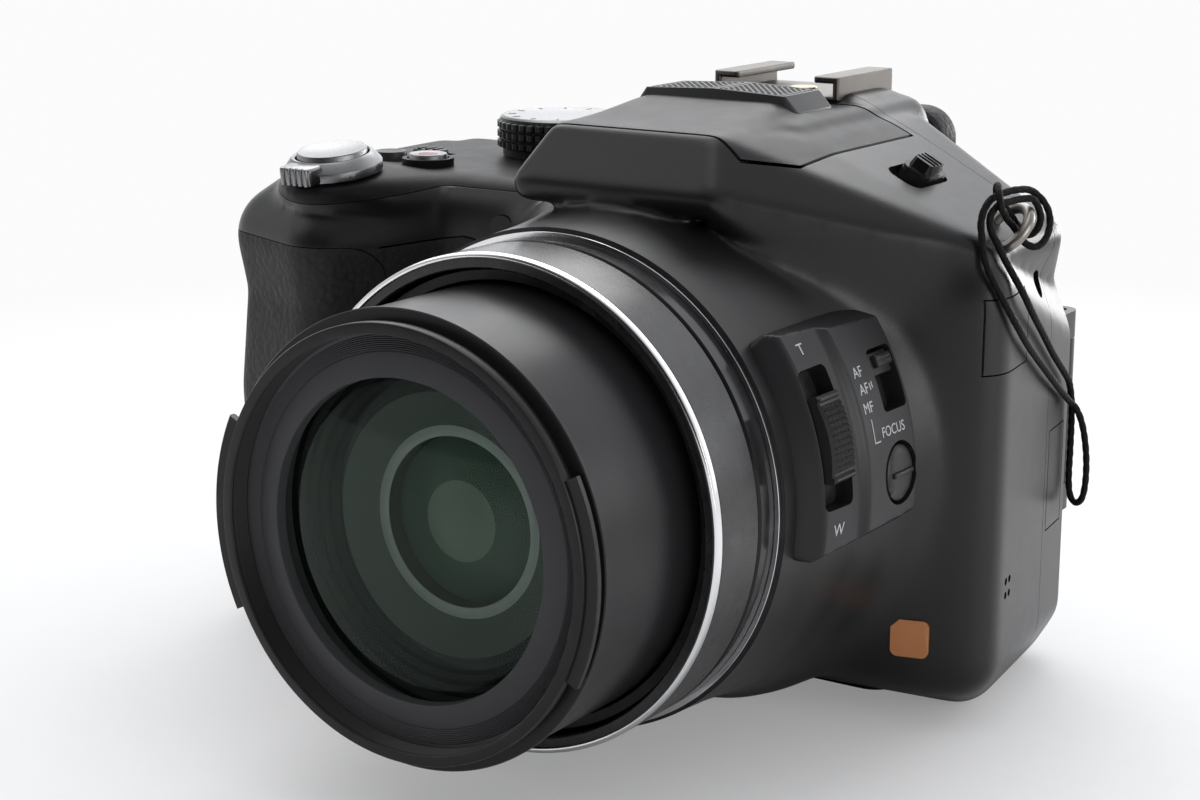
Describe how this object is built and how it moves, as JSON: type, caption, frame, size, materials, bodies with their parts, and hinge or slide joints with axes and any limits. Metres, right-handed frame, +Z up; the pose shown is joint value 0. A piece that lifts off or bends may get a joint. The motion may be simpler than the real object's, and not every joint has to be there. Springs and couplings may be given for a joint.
{
  "type": "bridge camera",
  "caption": "Bridge camera with a deep rubber grip, sliding zoom lens, side zoom rocker, pop-up flash, accessory shoe, swing-out screen and a thin cord loop on its strap eyelet.",
  "frame": {"origin": "centre of the tripod socket's mouth, in the plane of the base", "axes": "+X to the plain side, away from the grip, -Y the way the lens looks, +Z up"},
  "size_m": [0.1293, 0.1211, 0.0866],
  "materials": {
    "black_plastic": "satin, fine grain",
    "deck_plastic": "satin, fine grain",
    "grip_rubber": "matt, leather grain",
    "barrel_paint": "satin",
    "tube_black": "fine matt",
    "trim_chrome": "polished",
    "satin_silver": "satin",
    "lens_glass": "coated",
    "dark_glass": "gloss",
    "gloss_black": "gloss",
    "steel": "brushed",
    "board_green": "matt",
    "battery_grey": "satin",
    "contact_brass": "satin",
    "badge_orange": "gloss",
    "lamp_red": "gloss",
    "window_clear": "ribbed",
    "cord_black": "braided"
  },
  "bodies": {
    "camera": {"front_cover": "black_plastic", "rear_cover": "black_plastic", "top_cover": "deck_plastic", "bottom_plate": "black_plastic", "grip_rubber": "grip_rubber", "thumb_pad": "grip_rubber", "outer_barrel": "barrel_paint", "trim_ring": "trim_chrome", "accent_ring": "satin_silver", "lens_base": "barrel_paint", "image_sensor": "board_green", "zoom_motor": "steel", "main_board": "board_green", "speaker": "black_plastic", "control_pod": "black_plastic", "flash_hinge_pin": "steel", "hot_shoe": "steel", "shoe_contacts": "contact_brass", "eyecup": "grip_rubber", "eyepiece_lens": "lens_glass", "evf_display": "gloss_black", "screen_pin": "steel", "battery": "battery_grey", "jack_cover": "grip_rubber", "tripod_socket": "steel", "case_screws": "steel", "strap_eyelets": "steel", "badge": "badge_orange", "assist_lamp": "lamp_red", "lens_cord": "cord_black"},
    "zoom": {"zoom_tube": "tube_black"},
    "lens_front": {"front_tube": "tube_black", "name_ring": "tube_black", "front_lens": "lens_glass", "inner_cell": "tube_black", "second_lens": "lens_glass"},
    "rocker": {"zoom_rocker": "deck_plastic"},
    "focus_selector": {"focus_switch": "black_plastic"},
    "focus_push": {"focus_button": "black_plastic"},
    "lever": {"zoom_lever": "satin_silver"},
    "shutter": {"shutter_button": "satin_silver"},
    "movie": {"movie_button": "satin_silver"},
    "function": {"function_button": "black_plastic"},
    "power": {"power_switch": "black_plastic"},
    "mode": {"mode_dial": "deck_plastic"},
    "thumb_wheel": {"rear_dial": "deck_plastic"},
    "flash": {"flash_lid": "black_plastic", "mic_plate": "deck_plastic", "flash_arm": "black_plastic", "flash_window": "window_clear"},
    "flash_open": {"flash_slider": "black_plastic"},
    "screen": {"screen_frame": "black_plastic", "screen_glass": "dark_glass"},
    "diopter": {"diopter_dial": "deck_plastic"},
    "play": {"play_button": "black_plastic"},
    "cursor": {"cursor_pad": "black_plastic"},
    "set": {"set_button": "black_plastic"},
    "battery_lid": {"battery_door": "black_plastic"},
    "terminal_lid": {"terminal_door": "black_plastic"}
  },
  "joints": [
    {"name": "zoom_slide", "type": "slide", "parent": "camera", "child": "zoom", "axis": [0, -1, 0], "range_m": [-0.0065, 0.022]},
    {"name": "lens_front_slide", "type": "slide", "parent": "zoom", "child": "lens_front", "axis": [0, -1, 0], "range_m": [-0.00455, 0.0154]},
    {"name": "rocker_tilt", "type": "hinge", "parent": "camera", "child": "rocker", "pos_m": [0, -0.0412, 0.0376], "axis": [0, -1, 0], "range_deg": [-4.5, 4.5], "stiffness_Nm_per_rad": 0.4},
    {"name": "focus_selector_slide", "type": "hinge", "parent": "camera", "child": "focus_selector", "pos_m": [0, -0.027, 0.0376], "axis": [0, 1, 0], "range_deg": [0, 6.5]},
    {"name": "focus_push_press", "type": "slide", "parent": "camera", "child": "focus_push", "axis": [-0.998, 0, -0.0628], "range_m": [0, 0.0008], "stiffness_N_per_m": 400},
    {"name": "lever_turn", "type": "hinge", "parent": "camera", "child": "lever", "pos_m": [-0.058, -0.024, 0.0696], "axis": [0, -0.1392, 0.9903], "range_deg": [-25, 25], "stiffness_Nm_per_rad": 0.02},
    {"name": "shutter_press", "type": "slide", "parent": "camera", "child": "shutter", "axis": [0, 0.1392, -0.9903], "range_m": [0, 0.001], "stiffness_N_per_m": 400},
    {"name": "movie_press", "type": "slide", "parent": "camera", "child": "movie", "axis": [0, 0, -1], "range_m": [0, 0.0008], "stiffness_N_per_m": 400},
    {"name": "function_press", "type": "slide", "parent": "camera", "child": "function", "axis": [0, 0, -1], "range_m": [0, 0.0006], "stiffness_N_per_m": 400},
    {"name": "power_slide", "type": "slide", "parent": "camera", "child": "power", "axis": [0, 1, 0], "range_m": [0, 0.0032]},
    {"name": "mode_turn", "type": "hinge", "parent": "camera", "child": "mode", "pos_m": [-0.0415, 0.012, 0.071], "axis": [0, 0, 1], "continuous": true},
    {"name": "thumb_wheel_turn", "type": "hinge", "parent": "camera", "child": "thumb_wheel", "pos_m": [-0.056, 0.0218, 0.063], "axis": [0, 0, 1], "continuous": true},
    {"name": "diopter_turn", "type": "hinge", "parent": "camera", "child": "diopter", "pos_m": [0.014, 0.026, 0.07], "axis": [1, 0, 0], "continuous": true},
    {"name": "flash_lift", "type": "hinge", "parent": "camera", "child": "flash", "pos_m": [0, 0.0035, 0.079], "axis": [-1, 0, 0], "range_deg": [0, 45]},
    {"name": "flash_open_slide", "type": "slide", "parent": "camera", "child": "flash_open", "axis": [0, -1, 0], "range_m": [0, 0.002], "stiffness_N_per_m": 400},
    {"name": "screen_swing", "type": "hinge", "parent": "camera", "child": "screen", "pos_m": [0.0385, 0.024, 0.032], "axis": [0, 0, -1], "range_deg": [0, 180]},
    {"name": "play_press", "type": "slide", "parent": "camera", "child": "play", "axis": [0, -1, 0], "range_m": [0, 0.0008], "stiffness_N_per_m": 400},
    {"name": "cursor_press", "type": "slide", "parent": "camera", "child": "cursor", "axis": [0, -1, 0], "range_m": [0, 0.0005], "stiffness_N_per_m": 400},
    {"name": "set_press", "type": "slide", "parent": "camera", "child": "set", "axis": [0, -1, 0], "range_m": [0, 0.0008], "stiffness_N_per_m": 400},
    {"name": "battery_lid_swing", "type": "hinge", "parent": "camera", "child": "battery_lid", "pos_m": [-0.0525, -0.00325, 0.0002], "axis": [0, -1, 0], "range_deg": [0, 90]},
    {"name": "terminal_lid_swing", "type": "hinge", "parent": "camera", "child": "terminal_lid", "pos_m": [0.04321, 0.01163, 0.0304], "axis": [0, 0, -1], "range_deg": [0, 100]}
  ],
  "couplings": [
    {"joint": "lens_front_slide", "follows": "zoom_slide", "ratio": 0.7}
  ]
}
